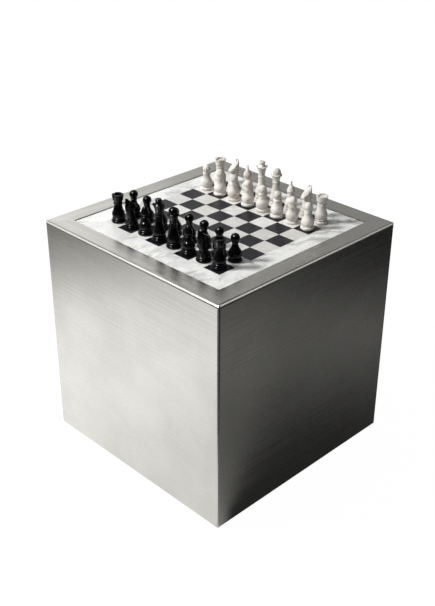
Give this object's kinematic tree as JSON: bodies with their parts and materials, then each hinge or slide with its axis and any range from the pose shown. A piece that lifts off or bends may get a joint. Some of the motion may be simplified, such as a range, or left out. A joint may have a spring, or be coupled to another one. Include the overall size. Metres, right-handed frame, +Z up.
{
  "type": "chess table",
  "caption": "Cube side table of folded brushed steel with a chequered stone chess board let into its top and a set of turned stone chessmen standing on it.",
  "frame": {"origin": "on the floor under the middle of the cube, at the underside of the glides", "axes": "+Z up; -Y is the front face; -X is the left face, where the dark chessmen stand; the light ones stand along +X"},
  "size_m": [0.46, 0.46, 0.541],
  "materials": {
    "brushed_steel": "satin, brushed along the sheet",
    "screw_steel": "plain",
    "carcass_board": "raw fibreboard",
    "nylon": "matt",
    "rubber_pad": "matt",
    "backing_stone": "sawn",
    "pale_marble": "polished, grey veins",
    "light_stone": "polished, fine grain",
    "dark_stone": "polished, fine flecks",
    "black_onyx": "high polish",
    "white_onyx": "polished, cloudy"
  },
  "bodies": {
    "table": {"panel_front": "brushed_steel", "panel_right": "brushed_steel", "panel_back": "brushed_steel", "panel_left": "brushed_steel", "carcass_front": "carcass_board", "carcass_right": "carcass_board", "carcass_back": "carcass_board", "carcass_left": "carcass_board", "base_board": "carcass_board", "deck_board": "carcass_board", "rim_strips": "carcass_board", "corner_battens": "carcass_board", "flange_screws": "screw_steel", "glides": "nylon", "board_pads": "rubber_pad", "board_slab": "backing_stone", "border_front": "pale_marble", "border_right": "pale_marble", "border_back": "pale_marble", "border_left": "pale_marble", "light_tiles": "light_stone", "dark_tiles": "dark_stone"},
    "black_rook_1": {"black_rook_1": "black_onyx"},
    "black_knight_1": {"black_knight_1": "black_onyx"},
    "black_bishop_1": {"black_bishop_1": "black_onyx"},
    "black_king": {"black_king": "black_onyx"},
    "black_queen": {"black_queen": "black_onyx"},
    "black_bishop_2": {"black_bishop_2": "black_onyx"},
    "black_knight_2": {"black_knight_2": "black_onyx"},
    "black_rook_2": {"black_rook_2": "black_onyx"},
    "black_pawn_1": {"black_pawn_1": "black_onyx"},
    "black_pawn_2": {"black_pawn_2": "black_onyx"},
    "black_pawn_3": {"black_pawn_3": "black_onyx"},
    "black_pawn_4": {"black_pawn_4": "black_onyx"},
    "black_pawn_5": {"black_pawn_5": "black_onyx"},
    "black_pawn_6": {"black_pawn_6": "black_onyx"},
    "black_pawn_7": {"black_pawn_7": "black_onyx"},
    "black_pawn_8": {"black_pawn_8": "black_onyx"},
    "white_rook_1": {"white_rook_1": "white_onyx"},
    "white_knight_1": {"white_knight_1": "white_onyx"},
    "white_bishop_1": {"white_bishop_1": "white_onyx"},
    "white_king": {"white_king": "white_onyx"},
    "white_queen": {"white_queen": "white_onyx"},
    "white_bishop_2": {"white_bishop_2": "white_onyx"},
    "white_knight_2": {"white_knight_2": "white_onyx"},
    "white_rook_2": {"white_rook_2": "white_onyx"},
    "white_pawn_1": {"white_pawn_1": "white_onyx"},
    "white_pawn_2": {"white_pawn_2": "white_onyx"},
    "white_pawn_3": {"white_pawn_3": "white_onyx"},
    "white_pawn_4": {"white_pawn_4": "white_onyx"},
    "white_pawn_5": {"white_pawn_5": "white_onyx"},
    "white_pawn_6": {"white_pawn_6": "white_onyx"},
    "white_pawn_7": {"white_pawn_7": "white_onyx"},
    "white_pawn_8": {"white_pawn_8": "white_onyx"}
  },
  "joints": [
    {"name": "black_rook_1_lift", "type": "slide", "parent": "table", "child": "black_rook_1", "axis": [0, 0, 1], "range_m": [0, 0.1]},
    {"name": "black_knight_1_lift", "type": "slide", "parent": "table", "child": "black_knight_1", "axis": [0, 0, 1], "range_m": [0, 0.1]},
    {"name": "black_bishop_1_lift", "type": "slide", "parent": "table", "child": "black_bishop_1", "axis": [0, 0, 1], "range_m": [0, 0.1]},
    {"name": "black_king_lift", "type": "slide", "parent": "table", "child": "black_king", "axis": [0, 0, 1], "range_m": [0, 0.1]},
    {"name": "black_queen_lift", "type": "slide", "parent": "table", "child": "black_queen", "axis": [0, 0, 1], "range_m": [0, 0.1]},
    {"name": "black_bishop_2_lift", "type": "slide", "parent": "table", "child": "black_bishop_2", "axis": [0, 0, 1], "range_m": [0, 0.1]},
    {"name": "black_knight_2_lift", "type": "slide", "parent": "table", "child": "black_knight_2", "axis": [0, 0, 1], "range_m": [0, 0.1]},
    {"name": "black_rook_2_lift", "type": "slide", "parent": "table", "child": "black_rook_2", "axis": [0, 0, 1], "range_m": [0, 0.1]},
    {"name": "black_pawn_1_lift", "type": "slide", "parent": "table", "child": "black_pawn_1", "axis": [0, 0, 1], "range_m": [0, 0.1]},
    {"name": "black_pawn_2_lift", "type": "slide", "parent": "table", "child": "black_pawn_2", "axis": [0, 0, 1], "range_m": [0, 0.1]},
    {"name": "black_pawn_3_lift", "type": "slide", "parent": "table", "child": "black_pawn_3", "axis": [0, 0, 1], "range_m": [0, 0.1]},
    {"name": "black_pawn_4_lift", "type": "slide", "parent": "table", "child": "black_pawn_4", "axis": [0, 0, 1], "range_m": [0, 0.1]},
    {"name": "black_pawn_5_lift", "type": "slide", "parent": "table", "child": "black_pawn_5", "axis": [0, 0, 1], "range_m": [0, 0.1]},
    {"name": "black_pawn_6_lift", "type": "slide", "parent": "table", "child": "black_pawn_6", "axis": [0, 0, 1], "range_m": [0, 0.1]},
    {"name": "black_pawn_7_lift", "type": "slide", "parent": "table", "child": "black_pawn_7", "axis": [0, 0, 1], "range_m": [0, 0.1]},
    {"name": "black_pawn_8_lift", "type": "slide", "parent": "table", "child": "black_pawn_8", "axis": [0, 0, 1], "range_m": [0, 0.1]},
    {"name": "white_rook_1_lift", "type": "slide", "parent": "table", "child": "white_rook_1", "axis": [0, 0, 1], "range_m": [0, 0.1]},
    {"name": "white_knight_1_lift", "type": "slide", "parent": "table", "child": "white_knight_1", "axis": [0, 0, 1], "range_m": [0, 0.1]},
    {"name": "white_bishop_1_lift", "type": "slide", "parent": "table", "child": "white_bishop_1", "axis": [0, 0, 1], "range_m": [0, 0.1]},
    {"name": "white_king_lift", "type": "slide", "parent": "table", "child": "white_king", "axis": [0, 0, 1], "range_m": [0, 0.1]},
    {"name": "white_queen_lift", "type": "slide", "parent": "table", "child": "white_queen", "axis": [0, 0, 1], "range_m": [0, 0.1]},
    {"name": "white_bishop_2_lift", "type": "slide", "parent": "table", "child": "white_bishop_2", "axis": [0, 0, 1], "range_m": [0, 0.1]},
    {"name": "white_knight_2_lift", "type": "slide", "parent": "table", "child": "white_knight_2", "axis": [0, 0, 1], "range_m": [0, 0.1]},
    {"name": "white_rook_2_lift", "type": "slide", "parent": "table", "child": "white_rook_2", "axis": [0, 0, 1], "range_m": [0, 0.1]},
    {"name": "white_pawn_1_lift", "type": "slide", "parent": "table", "child": "white_pawn_1", "axis": [0, 0, 1], "range_m": [0, 0.1]},
    {"name": "white_pawn_2_lift", "type": "slide", "parent": "table", "child": "white_pawn_2", "axis": [0, 0, 1], "range_m": [0, 0.1]},
    {"name": "white_pawn_3_lift", "type": "slide", "parent": "table", "child": "white_pawn_3", "axis": [0, 0, 1], "range_m": [0, 0.1]},
    {"name": "white_pawn_4_lift", "type": "slide", "parent": "table", "child": "white_pawn_4", "axis": [0, 0, 1], "range_m": [0, 0.1]},
    {"name": "white_pawn_5_lift", "type": "slide", "parent": "table", "child": "white_pawn_5", "axis": [0, 0, 1], "range_m": [0, 0.1]},
    {"name": "white_pawn_6_lift", "type": "slide", "parent": "table", "child": "white_pawn_6", "axis": [0, 0, 1], "range_m": [0, 0.1]},
    {"name": "white_pawn_7_lift", "type": "slide", "parent": "table", "child": "white_pawn_7", "axis": [0, 0, 1], "range_m": [0, 0.1]},
    {"name": "white_pawn_8_lift", "type": "slide", "parent": "table", "child": "white_pawn_8", "axis": [0, 0, 1], "range_m": [0, 0.1]}
  ]
}
